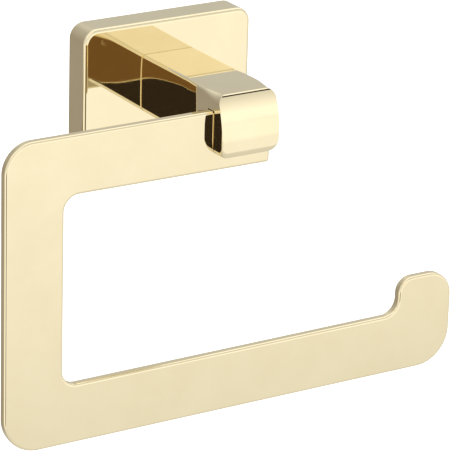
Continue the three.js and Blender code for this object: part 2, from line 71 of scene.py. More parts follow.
COVER_CORNER = 4.6 * MM
COVER_EDGE = 1.2 * MM
COVER_REAR_EDGE = 0.15 * MM
COVER_WALL = 2 * MM
RIB_HEIGHT = 3.2 * MM
RIB_WIDTH = 3 * MM
RIB_SPACING = 34 * MM
BOSS_WIDTH = 9 * MM
POCKET_CORNER = 1 * MM
POCKET_FLOOR_EDGE = 0.3 * MM
RIB_CORNER = 0.4 * MM
SHARP = 0.01 * MM
BRACKET_SHEET = 1.5 * MM
HOLE_CLEARANCE = 0.35 * MM
TIE_SHANK = 2.4 * MM
WALL_HOLE_SPACING = 24 * MM

SLOT_CLEARANCE = 0.15 * MM
LIP_EDGE = 0.3 * MM
PLATE_EDGE = 0.8 * MM
UPRIGHT_WIDTH = 18.6 * MM
BAR_HEIGHT = 17.6 * MM
BAR_TAPER = 0.5 * MM
OPENING_HEIGHT = 56.8 * MM
LOWER_BAR_TAPER = 0.35 * MM
TIP_WIDTH = 18.9 * MM
TIP_RISE = 11.2 * MM
BAR_END = ARM_HIGH.x + 0.2 * MM
OUTER_TOP_CORNER = 9 * MM
OUTER_LOW_CORNER = 11 * MM
TIP_OUTER_CORNER = 8 * MM
TIP_INNER_CORNER = 5 * MM
TIP_ROOT_CORNER = 4.9 * MM
OPENING_CORNER = 4.7 * MM
BAR_END_CORNER = 0.9 * MM

# how far the cutters run past what they cut
BEYOND = 30 * MM
BEHIND = 5 * MM
COVER_DRILL_START = -20 * MM
PLATE_DRILL = (-60 * MM, -40 * MM)
OVERLAP = 0.05 * MM


# ---- mesh helpers ----

NO_LENGTH = 1e-9
NO_AREA = 1e-16
ON_SKIN = 3e-6
CORNER_REACH = 4e-6
SAME_FACING = 0.9
SOFT_TURN = 0.8


class Skin:
    """A closed mesh whose faces carry one normal per corner."""

    def __init__(self):
        self.points = []
        self.faces = []
        self.normals = []

    def point(self, place):
        self.points.append(Vector(place))
        return len(self.points) - 1

    def face(self, ids, normals):
        self.faces.append(tuple(ids))
        self.normals.extend(Vector(n).normalized() for n in normals)

    def mesh(self, name):
        made = bpy.data.meshes.new(name)
        made.from_pydata(self.points, [], self.faces)
        made.polygons.foreach_set("use_smooth", [True] * len(made.polygons))
        made.normals_split_custom_set(self.normals)
        return made


def smooth(value, low, high):
    t = min(max((value - low) / (high - low), 0), 1)
    return t * t * (3 - 2 * t)


def arc(centre, radius, start, turn, outward=1, step=math.radians(3)):
    """Points and outward normals along an arc of the outline."""
    count = max(2, math.ceil(abs(turn) / step))
    made = []
    for i in range(count + 1):
        angle = start + turn * i / count
        radial = Vector((math.cos(angle), math.sin(angle)))
        made.append((centre + radial * radius, radial * outward))
    return made


def outline(corners, step=math.radians(3)):
    """A closed outline from [u, v, radius] corners: points with outward normals, anticlockwise."""
    spots = [Vector(c[:2]) for c in corners]
    count = len(corners)
    area = sum(spots[i - 1].cross(spots[i]) for i in range(count))
    if area < 0:
        corners = corners[::-1]
        spots = spots[::-1]
    made = []
    for i in range(count):
        here = spots[i]
        inward = (spots[i - 1] - here).normalized()
        onward = (spots[(i + 1) % count] - here).normalized()
        radius = corners[i][2]
        half = math.acos(max(-1, min(1, inward.dot(onward)))) / 2
        reach = radius / math.tan(half)
        centre = here + (inward + onward).normalized() * (radius / math.sin(half))
        start = here + inward * reach - centre
        end = here + onward * reach - centre
        a = math.atan2(start.y, start.x)
        b = math.atan2(end.y, end.x)
        turn = math.atan2(math.sin(b - a), math.cos(b - a))
        made += arc(centre, radius, a, turn, 1 if turn > 0 else -1, step)
    return made


def slab(rim, low, high, low_edge, high_edge, axes, steps=7):
    """A slab with rounded edges. rim is an outline of (point, normal), and axes are the directions of u, v
    and w."""
    skin = Skin()
    u_axis, v_axis, w_axis = (Vector(a) for a in axes)
    handed = u_axis.cross(v_axis).dot(w_axis)

    def ring(side, level, radius, turn):
        """One row of (corner id, normal, point), turn being the normal's angle from the rim's side."""
        row = []
        for p, n in rim:
            q = p - n * (radius * (1 - math.cos(turn)))
            outward = u_axis * n.x + v_axis * n.y
            normal = w_axis * side * math.sin(turn) + outward * math.cos(turn)
            drop = radius * (1 - math.sin(turn))
            place = u_axis * q.x + v_axis * q.y + w_axis * (level - side * drop)
            row.append((skin.point(place), normal, q))
        return row

    rows = []
    for side, level, radius in ((-1, low, low_edge), (1, high, high_edge)):
        band = [ring(side, level, radius, math.pi / 2 * (i / steps)) for i in range(steps + 1)]
        rows += band[::-1] if side < 0 else band
    count = len(rim)
    for lower, upper in zip(rows, rows[1:]):
        for i in range(count):
            j = (i + 1) % count
            corners = [lower[i], lower[j], upper[j], upper[i]]
            low_side = (corners[0][2] - corners[1][2]).length
            high_side = (corners[2][2] - corners[3][2]).length
            if low_side < NO_LENGTH and high_side < NO_LENGTH:
                continue
            if handed < 0:
                corners.reverse()
            skin.face([c[0] for c in corners], [c[1] for c in corners])
    edges = [(i, (i + 1) % count) for i in range(count)]
    for side, row in ((-1, rows[0]), (1, rows[-1])):
        made = delaunay_2d_cdt([c[2] for c in row], edges, [], 1, NO_LENGTH)
        owners = [origins[0] for origins in made[3]]
        for tri in made[2]:
            a, b, c = (made[0][i] for i in tri)
            turned_over = (b - a).cross(c - a) * side * handed < 0
            order = tri[::-1] if turned_over else tri
            skin.face([row[owners[i]][0] for i in order], [w_axis * side] * 3)
    return skin


def box_cutter(low, high):
    made = bpy.data.meshes.new("cutter")
    work = bmesh.new()
    bmesh.ops.create_cube(work, size=1)
    size = Vector(high) - Vector(low)
    middle = (Vector(high) + Vector(low)) / 2
    for v in work.verts:
        v.co = Vector(a * b for a, b in zip(v.co, size)) + middle
    work.to_mesh(made)
    work.free()
    return made


def prism_cutter(points, low, high):
    """An upright prism over a closed outline of (x, y) points, anticlockwise."""
    made = bpy.data.meshes.new("cutter")
    count = len(points)
    places = [(x, y, z) for z in (low, high) for x, y in points]
    faces = [tuple(range(count))[::-1], tuple(range(count, 2 * count))]
    faces += [(i, (i + 1) % count, count + (i + 1) % count, count + i) for i in range(count)]
    made.from_pydata(places, [], faces)
    return made


def round_cutter(radius, start, end, segments=64):
    """A round bar from one point to another."""
    made = bpy.data.meshes.new("cutter")
    start, end = Vector(start), Vector(end)
    way = end - start
    turn = way.to_track_quat("Z", "Y").to_matrix().to_4x4()
    work = bmesh.new()
    bmesh.ops.create_cone(
        work, cap_ends=True, segments=segments, radius1=radius, radius2=radius, depth=way.length,
        matrix=Matrix.Translation((start + end) / 2) @ turn,
    )
    work.to_mesh(made)
    work.free()
    return made


def boolean(mesh, tool, operation="DIFFERENCE"):
    """The mesh with the tool cut away or added."""
    scene = bpy.context.scene.collection
    a = bpy.data.objects.new("work_a", mesh)
    b = bpy.data.objects.new("work_b", tool)
    scene.objects.link(a)
    scene.objects.link(b)
    cut = a.modifiers.new("cut", "BOOLEAN")
    cut.operation = operation
    cut.solver = "EXACT"
    cut.object = b
    bpy.context.view_layer.update()
    depsgraph = bpy.context.evaluated_depsgraph_get()
    made = bpy.data.meshes.new_from_object(a.evaluated_get(depsgraph))
    bpy.data.objects.remove(a)
    bpy.data.objects.remove(b)
    return made


def skin_normal(skin, triangle, corner_normals, place):
    """The skin's normal at a place on one of its triangles, or None where the triangle has no area."""
    a, b, c = (skin.points[i] for i in triangle)
    whole = (b - a).cross(c - a).length
    if whole < NO_AREA:
        return None
    weight_a = (b - place).cross(c - place).length / whole
    weight_b = (c - place).cross(a - place).length / whole
    weight_c = max(0, 1 - weight_a - weight_b)
    normal_a, normal_b, normal_c = corner_normals
    return (normal_a * weight_a + normal_b * weight_b + normal_c * weight_c).normalized()


def carry_normals(made, skin):
    """Gives the corners that still lie on the skin its exact normals, and smooths the rest by angle."""
    triangles = []
    triangle_normals = []
    at = 0
    for ids in skin.faces:
        for k in range(1, len(ids) - 1):
            triangles.append((ids[0], ids[k], ids[k + 1]))
            triangle_normals.append((skin.normals[at], skin.normals[at + k], skin.normals[at + k + 1]))
        at += len(ids)
    tree = BVHTree.FromPolygons(skin.points, triangles)
    on_skin = []
    faces_at = {}
    for poly in made.polygons:
        _, flat, _, far = tree.find_nearest(poly.center)
        on_skin.append(far <= ON_SKIN and flat.dot(poly.normal) >= SAME_FACING)
        for v in poly.vertices:
            faces_at.setdefault(v, []).append(poly.index)

    def normal_on_skin(co, facing):
        near = tree.find_nearest_range(co, CORNER_REACH)
        if near:
            place, _, index, _ = max(near, key=lambda hit: hit[1].dot(facing))
        else:
            place, _, index, _ = tree.find_nearest(co)
        return skin_normal(skin, triangles[index], triangle_normals[index], place)

    def normal_on_cut(v, facing):
        total = Vector((0, 0, 0))
        for other in faces_at[v]:
            normal = made.polygons[other].normal
            if not on_skin[other] and normal.dot(facing) > SOFT_TURN:
                total += normal
        return total.normalized() if total.length else None

    normals = []
    for poly in made.polygons:
        for corner in poly.loop_indices:
            v = made.loops[corner].vertex_index
            if on_skin[poly.index]:
                normal = normal_on_skin(made.vertices[v].co, poly.normal)
            else:
                normal = normal_on_cut(v, poly.normal)
            normals.append(poly.normal.copy() if normal is None else normal)
    made.polygons.foreach_set("use_smooth", [True] * len(made.polygons))
    made.normals_split_custom_set(normals)
    return made


def piece(name, mesh, material, body, nodes):
    """A finished piece that stands for its CAD nodes and moves with its body."""
    mesh.name = name
    made = bpy.data.objects.new(name, mesh)
    bpy.context.scene.collection.objects.link(made)
    mesh.materials.clear()
    mesh.materials.append(material)
    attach(made, body)
    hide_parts(*nodes)
    return made


# ---- materials ----

def fresh(name):
    material = bpy.data.materials.new(name)
    material.use_nodes = True
    tree = material.node_tree
    shader = tree.nodes["Principled BSDF"]
    place = tree.nodes.new("ShaderNodeTexCoord")
    return material, tree, shader, place


def noise(tree, place, scale, detail=3.0, rough=0.55, stretch=None):
    node = tree.nodes.new("ShaderNodeTexNoise")
    node.inputs["Scale"].default_value = scale
    node.inputs["Detail"].default_value = detail
    node.inputs["Roughness"].default_value = rough
    source = place.outputs["Object"]
    if stretch:
        mapping = tree.nodes.new("ShaderNodeMapping")
        mapping.inputs["Scale"].default_value = stretch
        tree.links.new(source, mapping.inputs["Vector"])
        source = mapping.outputs["Vector"]
    tree.links.new(source, node.inputs["Vector"])
    return node.outputs["Fac"]


def spread(tree, value, low, high, out_low, out_high):
    node = tree.nodes.new("ShaderNodeMapRange")
    for key, number in (("From Min", low), ("From Max", high), ("To Min", out_low), ("To Max", out_high)):
        node.inputs[key].default_value = number
    tree.links.new(value, node.inputs["Value"])
    return node.outputs["Result"]


def ramp(tree, value, stops):
    node = tree.nodes.new("ShaderNodeValToRGB")
    band = node.color_ramp
    while len(band.elements) > 1:
        band.elements.remove(band.elements[-1])
    band.elements[0].position = stops[0][0]
    band.elements[0].color = (*stops[0][1], 1)
    for position, colour in stops[1:]:
        band.elements.new(position).color = (*colour, 1)
    tree.links.new(value, node.inputs["Fac"])
    return node.outputs["Color"]


def bump(tree, shader, value, strength, distance):
    node = tree.nodes.new("ShaderNodeBump")
    node.inputs["Strength"].default_value = strength
    node.inputs["Distance"].default_value = distance
    tree.links.new(value, node.inputs["Height"])
    tree.links.new(node.outputs["Normal"], shader.inputs["Normal"])


def polished_gold():
    material, tree, shader, place = fresh("polished_gold")
    shader.inputs["Metallic"].default_value = 1
    tone = ramp(tree, noise(tree, place, 90, 4), [
        (0.3, (0.885, 0.772, 0.512)),
        (0.7, (0.915, 0.806, 0.545)),
    ])
    tree.links.new(tone, shader.inputs["Base Color"])
    haze = noise(tree, place, 700, 5, 0.6)
    tree.links.new(spread(tree, haze, 0.3, 0.75, 0.018, 0.05), shader.inputs["Roughness"])
    bump(tree, shader, noise(tree, place, 140, 2), 0.03, 0.00005)
    return material


def zinc_steel():
    material, tree, shader, place = fresh("zinc_steel")
    shader.inputs["Metallic"].default_value = 1
    tone = ramp(tree, noise(tree, place, 260, 4), [
        (0.3, (0.47, 0.49, 0.51)),
        (0.52, (0.58, 0.59, 0.6)),
        (0.75, (0.64, 0.64, 0.62)),
    ])
    tree.links.new(tone, shader.inputs["Base Color"])
    grain = noise(tree, place, 900, 3, 0.6, (1, 1, 0.12))
    tree.links.new(spread(tree, grain, 0.3, 0.7, 0.24, 0.42), shader.inputs["Roughness"])
    bump(tree, shader, grain, 0.08, 0.0001)
    return material


def dark_steel():
    material, tree, shader, place = fresh("dark_steel")
    shader.inputs["Metallic"].default_value = 1
    tone = ramp(tree, noise(tree, place, 500, 4), [
        (0.3, (0.06, 0.06, 0.065)),
        (0.72, (0.12, 0.118, 0.115)),
    ])
    tree.links.new(tone, shader.inputs["Base Color"])
    grain = noise(tree, place, 1500, 3)
    tree.links.new(spread(tree, grain, 0.3, 0.7, 0.34, 0.5), shader.inputs["Roughness"])
    bump(tree, shader, grain, 0.1, 0.00005)
    return material


def nylon():
    material, tree, shader, place = fresh("nylon")
    tone = ramp(tree, noise(tree, place, 120, 3), [
        (0.3, (0.56, 0.55, 0.52)),
        (0.7, (0.64, 0.63, 0.6)),
    ])
    tree.links.new(tone, shader.inputs["Base Color"])
    grain = noise(tree, place, 1300, 3)
    tree.links.new(spread(tree, grain, 0.3, 0.7, 0.42, 0.58), shader.inputs["Roughness"])
    bump(tree, shader, grain, 0.15, 0.0001)
    shader.inputs["Subsurface Weight"].default_value = 0.15
    shader.inputs["Subsurface Radius"].default_value = (0.002, 0.002, 0.0018)
    return material


GOLD = polished_gold()
ZINC = zinc_steel()
DARK = dark_steel()
NYLON = nylon()

# ---- shared places ----

X = (1, 0, 0)
Y = (0, 1, 0)
Z = (0, 0, 1)
ACROSS = (X, Z, Y)

tie_x = (TIE_LOW.x + TIE_HIGH.x) / 2
tie_z = (TIE_LOW.z + TIE_HIGH.z) / 2
tie_hole = TIE_SHANK + HOLE_CLEARANCE
pin_z = (PIN_LOW.z + PIN_HIGH.z) / 2
pin_radius = (PIN_HIGH.x - PIN_LOW.x) / 2
pin_hole = pin_radius + HOLE_CLEARANCE
lock_y = (LOCK_LOW.y + LOCK_HIGH.y) / 2
lock_radius = (LOCK_HIGH.x - LOCK_LOW.x) / 2
lock_hole = lock_radius + HOLE_CLEARANCE


def bore(radius, x, z, start, end):
    """A round cutter along Y."""
    return round_cutter(radius, (x, start, z), (x, end, z))


# ---- rosette cover ----

def rectangle(half_x, half_z, radius):
    return outline([
        [-half_x, -half_z, radius], [half_x, -half_z, radius],
        [half_x, half_z, radius], [-half_x, half_z, radius],
    ])


def hollow_outline(inner_x, inner_z, foot):
    """The hollow's outline round the two seat ribs above and the lock screw's boss below."""
    wide = POCKET_CORNER
    tight = RIB_CORNER
    rib_out = (RIB_SPACING + RIB_WIDTH) / 2
    rib_in = (RIB_SPACING - RIB_WIDTH) / 2
    boss = BOSS_WIDTH / 2
    return outline([
        [-inner_x, -inner_z, wide], [-boss, -inner_z, tight], [-boss, -foot, tight], [boss, -foot, tight],
        [boss, -inner_z, tight], [inner_x, -inner_z, wide], [inner_x, inner_z, wide],
        [rib_out, inner_z, tight], [rib_out, foot, tight], [rib_in, foot, tight], [rib_in, inner_z, tight],
        [-rib_in, inner_z, tight], [-rib_in, foot, tight], [-rib_out, foot, tight],
        [-rib_out, inner_z, tight], [-inner_x, inner_z, wide],
    ], math.radians(15))


def cover_shell():
    rim = rectangle(COVER_HIGH.x, COVER_HIGH.z, COVER_CORNER)
    skin = slab(rim, COVER_LOW.y, COVER_HIGH.y, COVER_EDGE, COVER_REAR_EDGE, ACROSS)
    inner_x = COVER_HIGH.x - COVER_WALL
    inner_z = COVER_HIGH.z - COVER_WALL
    foot = inner_z - RIB_HEIGHT
    mouth_rim = rectangle(inner_x, inner_z, POCKET_CORNER)
    mouth = slab(mouth_rim, -BRACKET_SHEET, 1 * MM, SHARP, SHARP, ACROSS, steps=1)
    hollow_rim = hollow_outline(inner_x, inner_z, foot)
    hollow_start = COVER_LOW.y + COVER_WALL
    hollow_end = -BRACKET_SHEET + 0.1 * MM
    hollow = slab(hollow_rim, hollow_start, hollow_end, POCKET_FLOOR_EDGE, SHARP, ACROSS, steps=3)
    shell = skin.mesh("cover")
    for tool in (
        mouth.mesh("mouth"),
        hollow.mesh("hollow"),
        bore(tie_hole, tie_x, tie_z, COVER_DRILL_START, BEHIND),
        bore(pin_hole, tie_x, pin_z, COVER_DRILL_START, BEHIND),
        round_cutter(lock_hole, (0, lock_y, -BEYOND), (0, lock_y, -foot + 1 * MM)),
    ):
        shell = boolean(shell, tool)
    piece("cover_shell", carry_normals(shell, skin), GOLD, "holder", ["rosette_cover"])


cover_shell()

# ---- arm and hook ----

# The arm is a loft of upright sections, each a rounded rectangle whose top is cut by the nose. Its
# lengths are in millimetres up to the mesh.
ARM_REAR = 3.0
ROOT_EDGE = 0.4
HEAD_LENGTH = 13.8
FLARE_LENGTH = 9.0
CRISP_EDGE = 0.3
TOP_EDGE = 0.9
HOOK_TOP_CORNER = 2.7
HOOK_CORNER_RUN = 8.0
BOTTOM_EDGE = 2.6
FRONT_BOTTOM_ROUND = 2.2
NOSE_RADIUS = 28.8
NOSE_LEVEL = -4.0
RIDGE_FACET = 0.42
RIDGE_UPPER_ROUND = 0.9
RIDGE_UPPER_TILT = math.radians(43)
RIDGE_LOWER_TILT = math.radians(44)
RIDGE_END_TILT = math.radians(64)
RIDGE_LOWER_ROUND = 0.8
PILLOW_REACH = 6.5
PILLOW_DROP = 0.34
START_ANGLE = math.radians(80)
# how fast the top corner tightens as the nose cuts it down
CORNER_GIVE = 66

RIDGE_UPPER_STEPS = 8
RIDGE_FACET_STEPS = 4
RIDGE_LOWER_STEPS = 6
LOWER_STEPS = 8
SIDE_STEPS = 26
EDGE_STEPS = 5
TOP_STEPS = 12
BOTTOM_STEPS = 6
NOSE_STEPS = 34
ROOT_STEPS = 10
LIP_STEPS = 8
SETTLE_ROUNDS = 6
HALVINGS = 40

front = -ARM_LOW.y / MM
arm_bottom = ARM_LOW.z / MM
head_half = ARM_HIGH.x / MM
arm_half = head_half - 0.5
arm_top = -arm_bottom
root = (OVERLAP - COVER_LOW.y) / MM
flare_end = front - HEAD_LENGTH
flare_start = flare_end - FLARE_LENGTH


def ridge_line():
    """The side view's line from the level top over the ridge to the nose: [distance, height, tilt]."""
    made = [(0.0, 0.0, 0.0)]

    def onward(radius, a, b):
        d, z, _ = made[-1]
        made.append((d + radius * (math.sin(b) - math.sin(a)), z - radius * (math.cos(a) - math.cos(b)), b))

    def bend(radius, start, end, steps):
        tilts = [start + (end - start) * i / steps for i in range(steps + 1)]
        for a, b in zip(tilts, tilts[1:]):
            onward(radius, a, b)

    facet_radius = RIDGE_FACET / (RIDGE_LOWER_TILT - RIDGE_UPPER_TILT)
    bend(RIDGE_UPPER_ROUND, 0, RIDGE_UPPER_TILT, RIDGE_UPPER_STEPS)
    bend(facet_radius, RIDGE_UPPER_TILT, RIDGE_LOWER_TILT, RIDGE_FACET_STEPS)
    bend(RIDGE_LOWER_ROUND, RIDGE_LOWER_TILT, RIDGE_END_TILT, RIDGE_LOWER_STEPS)
    # the last point has to lie on the nose, where the nose has the same tilt
    shift = front - NOSE_RADIUS + NOSE_RADIUS * math.sin(RIDGE_END_TILT) - made[-1][0]
    lift = NOSE_LEVEL + NOSE_RADIUS * math.cos(RIDGE_END_TILT) - made[-1][1]
    return [(d + shift, z + lift, tilt) for d, z, tilt in made]


RIDGE = ridge_line()
ridge_start = RIDGE[0][0]
crest = RIDGE[0][1]


def nose_height(d):
    """The height of the top in side view, and its slope."""
    if d <= ridge_start:
        return crest, 0.0
    if d >= RIDGE[-1][0]:
        run = min(d - (front - NOSE_RADIUS), NOSE_RADIUS)
        rise = math.sqrt(max(NOSE_RADIUS ** 2 - run ** 2, 1e-12))
        return NOSE_LEVEL + rise, -run / rise
    for a, b in zip(RIDGE, RIDGE[1:]):
        if d <= b[0]:
            t = (d - a[0]) / (b[0] - a[0])
            return a[1] + (b[1] - a[1]) * t, -math.tan(a[2] + (b[2] - a[2]) * t)


def round_inset(radius, past):
    if past <= 0:
        return 0.0
    reach = min(past, radius)
    return radius - math.sqrt(max(radius * radius - reach * reach, 0))


def root_inset(d):
    """How far the arm's round rear edge has drawn in where it meets the cover."""
    return round_inset(ROOT_EDGE, root + ROOT_EDGE - d)


def side_of(d):
    """Half the width of the arm's section, without its rounding."""
    flare = smooth(d, flare_start, flare_end)
    drawn_in = round_inset(CRISP_EDGE, d - (front - CRISP_EDGE)) + root_inset(d)
    return arm_half + (head_half - arm_half) * flare - drawn_in


def pillow(past):
    """How far a polished side has fallen off past the start of its fall, and the slope."""
    if past <= 0:
        return 0.0, 0.0
    k = PILLOW_DROP / PILLOW_REACH ** 3
    return k * past ** 3, 3 * k * past ** 2


def top_round(d):
    return TOP_EDGE + (HOOK_TOP_CORNER - TOP_EDGE) * smooth(d, ridge_start - HOOK_CORNER_RUN, ridge_start)


def plain_side(z, half, low):
    fall, slope = pillow(z - (arm_top - PILLOW_REACH))
    under, rise = pillow((low + PILLOW_REACH) - z)
    return half - fall - under, slope - rise


def on_round(centre, radius, angle):
    """A point of the section on one of its rounded corners."""
    across, up = math.cos(angle), math.sin(angle)
    return centre[0] + radius * across, centre[1] + radius * up, across, up


def section(d, height):
    """The right half of the section from bottom centre to top centre, as (x, z, normal x, normal z)."""
    half = side_of(d)
    bottom = arm_bottom + round_inset(FRONT_BOTTOM_ROUND, d - (front - FRONT_BOTTOM_ROUND)) + root_inset(d)
    # the level top eases from the neck's height to the crest's over the whole arm
    top = arm_top + (crest - arm_top) * smooth(d, ARM_REAR, ridge_start) - root_inset(d)
    cut = max(crest - height, 0.0)
    top_cut = top - cut
    radius = top_round(d)
    low_radius = min(BOTTOM_EDGE, 0.5 * (top_cut - bottom))
    tilt = 0.0
    for _ in range(SETTLE_ROUNDS):
        start = top - radius * (1 - math.sin(tilt))
        x_start, slope = plain_side(start, half, arm_bottom)
        tilt = math.atan(max(slope, 0))
    centre = (x_start - radius * math.cos(tilt), top - radius)
    foot_tilt = 0.0
    for _ in range(SETTLE_ROUNDS):
        foot = bottom + low_radius * (1 - math.sin(foot_tilt))
        x_foot, slope = plain_side(foot, half, arm_bottom)
        foot_tilt = math.atan(max(-slope, 0))
    foot_centre = (x_foot - low_radius * math.cos(foot_tilt), bottom + low_radius)

    def side_at(z):
        """The side or corner at a height: its x and the tilt of its normal."""
        if z <= start:
            x, slope = plain_side(z, half, arm_bottom)
            return x, math.atan(slope)
        lift = min(max((z - centre[1]) / radius, -1), 1)
        return centre[0] + radius * math.sqrt(1 - lift * lift), math.asin(lift)

    give = min(CORNER_GIVE * cut, radius - CRISP_EDGE)
    edge = radius - give
    if give < 1e-9:
        contact = centre[1] + radius * math.sin(START_ANGLE)
    else:
        near, far = foot, min(top_cut, centre[1] + radius)
        for _ in range(HALVINGS):
            contact = (near + far) / 2
            if contact - edge * math.sin(side_at(contact)[1]) > top_cut - edge:
                far = contact
            else:
                near = contact
    x_contact, angle = side_at(contact)
    edge_centre = (x_contact - edge * math.cos(angle), contact - edge * math.sin(angle))
    points = []
    for i in range(BOTTOM_STEPS):
        points.append((foot_centre[0] * i / BOTTOM_STEPS, bottom, 0.0, -1.0))
    for i in range(LOWER_STEPS + 1):
        a = -math.pi / 2 + (math.pi / 2 - foot_tilt) * i / LOWER_STEPS
        points.append(on_round(foot_centre, low_radius, a))
    for i in range(1, SIDE_STEPS + 1):
        z = foot + (contact - foot) * math.sin(math.pi / 2 * i / SIDE_STEPS)
        x, a = side_at(z)
        points.append((x, z, math.cos(a), math.sin(a)))
    for i in range(1, EDGE_STEPS + 1):
        a = angle + (math.pi / 2 - angle) * i / EDGE_STEPS
        points.append(on_round(edge_centre, edge, a))
    x_end = edge_centre[0]
    for i in range(1, TOP_STEPS + 1):
        points.append((x_end * (1 - i / TOP_STEPS), edge_centre[1] + edge, 0.0, 1.0))
    return points


def arm_stations():
    """Where the arm's sections are: close together at the root, the ridge and the nose."""
    quarter = math.pi / 2
    made = [ARM_REAR, root - 0.02]
    made += [root + ROOT_EDGE * (1 - math.cos(quarter * i / ROOT_STEPS)) for i in range(1, ROOT_STEPS + 1)]
    made += [10.5 + 1.5 * i for i in range(15)]
    made += [33.0 + 0.6 * i for i in range(int((ridge_start - 33.2) / 0.6))]
    made += [p[0] for p in RIDGE[:-1]]
    nose_start = front - NOSE_RADIUS
    tilt = math.asin((RIDGE[-1][0] - nose_start) / NOSE_RADIUS)
    made += [nose_start + NOSE_RADIUS * math.sin(tilt + (quarter - tilt) * i / NOSE_STEPS)
             for i in range(NOSE_STEPS + 1)]
    return made


def half_row(d):
    """The right half of the section at a distance from the wall, as (x, z, normal)."""
    height, slope = nose_height(d)
    here = section(d, height)
    if d > front - 1e-6:
        return [(x, z, Vector((0, -1, 0))) for x, z, _, _ in here]
    h = min(1e-3, 0.05 * (front - d))
    before = section(d - h, nose_height(d - h)[0])
    after = section(d + h, nose_height(d + h)[0])
    row = []
    for (x, z, nx, nz), back, ahead in zip(here, before, after):
        run_x = (ahead[0] - back[0]) / (2 * h)
        run_z = (ahead[1] - back[1]) / (2 * h)
        if nz == 1.0 and height < crest - 1e-9:
            run_z = slope
        row.append((x, z, Vector((nx, nx * run_x + nz * run_z, nz)).normalized()))
    return row


def arm_loft():
    skin = Skin()
    rows = []
    for d in arm_stations():
        row = half_row(d)
        full = [(skin.point((x * MM, -d * MM, z * MM)), n) for x, z, n in row]
        # the left half, from just after the top centre back to just before the bottom centre
        full += [(skin.point((-x * MM, -d * MM, z * MM)), Vector((-n.x, n.y, n.z)))
                 for x, z, n in reversed(row[1:-1])]
        rows.append(full)
    count = len(rows[0])
    for near_row, far_row in zip(rows, rows[1:]):
        for i in range(count):
            j = (i + 1) % count
            corners = [far_row[j], far_row[i], near_row[i], near_row[j]]
            skin.face([c[0] for c in corners], [c[1] for c in corners])
    skin.face([c[0] for c in rows[-1]], [(0, -1, 0)] * count)
    skin.face([c[0] for c in rows[0]][::-1], [(0, 1, 0)] * count)
    return skin


def slot_outline():
    """The frame's slot seen from above, with the lip's rear edges rounded."""
    lip_back = PLATE_LOW.y - SLOT_CLEARANCE
    slot_back = PLATE_HIGH.y + SLOT_CLEARANCE
    made = [(-BEYOND, lip_back - LIP_EDGE)]
    for side in (-1, 1):
        for i in range(LIP_STEPS + 1):
            eighths = LIP_STEPS - i if side < 0 else i
            turn = math.pi / 2 * eighths / LIP_STEPS
            x = side * (ARM_HIGH.x - LIP_EDGE + LIP_EDGE * math.sin(turn))
            made.append((x, lip_back - LIP_EDGE * (1 - math.cos(turn))))
    return made + [(BEYOND, lip_back - LIP_EDGE), (BEYOND, slot_back), (-BEYOND, slot_back)]


def arm_casting():
    skin = arm_loft()
    arm = skin.mesh("arm")
    for tool in (
        box_cutter((-BEYOND, COVER_LOW.y - OVERLAP, -BEYOND), (BEYOND, 20 * MM, BEYOND)),
        prism_cutter(slot_outline(), -BEYOND, PLATE_HIGH.z + SLOT_CLEARANCE),
        bore(tie_hole, tie_x, tie_z, PLATE_HIGH.y - 1 * MM, 0),
        bore(pin_hole, tie_x, pin_z, PIN_LOW.y - HOLE_CLEARANCE, 0),
    ):
        arm = boolean(arm, tool)
    piece("arm_casting", carry_normals(arm, skin), GOLD, "holder", ["hook_arm"])


arm_casting()

# ---- roll frame ----

def roll_plate():
    left, right = PLATE_LOW.x, PLATE_HIGH.x
    top, bottom = PLATE_HIGH.z, PLATE_LOW.z
    bar_under = top - BAR_HEIGHT
    lower_top = bar_under - OPENING_HEIGHT
    tip_top = lower_top + TIP_RISE
    inner_left = left + UPRIGHT_WIDTH
    tip_left = right - TIP_WIDTH
    rim = outline([
        [left, top, OUTER_TOP_CORNER], [left, bottom, OUTER_LOW_CORNER],
        [right, bottom, OUTER_LOW_CORNER], [right, tip_top, TIP_OUTER_CORNER],
        [tip_left, tip_top, TIP_INNER_CORNER], [tip_left, lower_top, TIP_ROOT_CORNER],
        [inner_left, lower_top - LOWER_BAR_TAPER, OPENING_CORNER], [inner_left, bar_under, OPENING_CORNER],
        [BAR_END, bar_under - BAR_TAPER, BAR_END_CORNER], [BAR_END, top, BAR_END_CORNER],
    ], math.radians(2.5))
    skin = slab(rim, PLATE_LOW.y, PLATE_HIGH.y, PLATE_EDGE, PLATE_EDGE, ACROSS)
    plate = boolean(skin.mesh("plate"), bore(tie_hole, tie_x, tie_z, *PLATE_DRILL))
    piece("roll_plate", carry_normals(plate, skin), GOLD, "holder", ["roll_frame"])


roll_plate()

# ---- fixings ----

WALL_PITCH = 1.4 * MM
WALL_THREAD_DEPTH = 0.42 * MM
WALL_CORE = 1.33 * MM
WALL_POINT = 4 * MM
PLUG_TOOTH = 0.35 * MM
PLUG_TEETH = 7
TIE_PITCH = 0.8 * MM
TIE_THREAD_DEPTH = 0.32 * MM
TIE_THREAD_LENGTH = 18 * MM
TIE_HEAD_HEIGHT = 3 * MM
LOCK_PITCH = 0.7 * MM
LOCK_THREAD_DEPTH = 0.28 * MM
LOCK_KEY = 2 * MM
TIE_KEY = 4 * MM
TIE_KEY_DEPTH = 1.8 * MM
PLUG_BORE = 2.1 * MM
PLUG_BODY = 3 * MM
PLUG_SLIT = 0.6 * MM
PLUG_COLLAR = 0.9 * MM
PLUG_TEETH_START = 5 * MM
PLUG_TEETH_SHORT = 7 * MM
PLUG_NOSE = 1.6 * MM
BRACKET_BEND = 1.75 * MM
BRACKET_HOLE = 2.15 * MM
BRACKET_SLOT_RUN = 1.35 * MM
BRACKET_EDGE = 0.2 * MM
SPRING_WASHER_GAP = 0.4 * MM
PIN_EDGE = 0.3 * MM
AROUND = 48


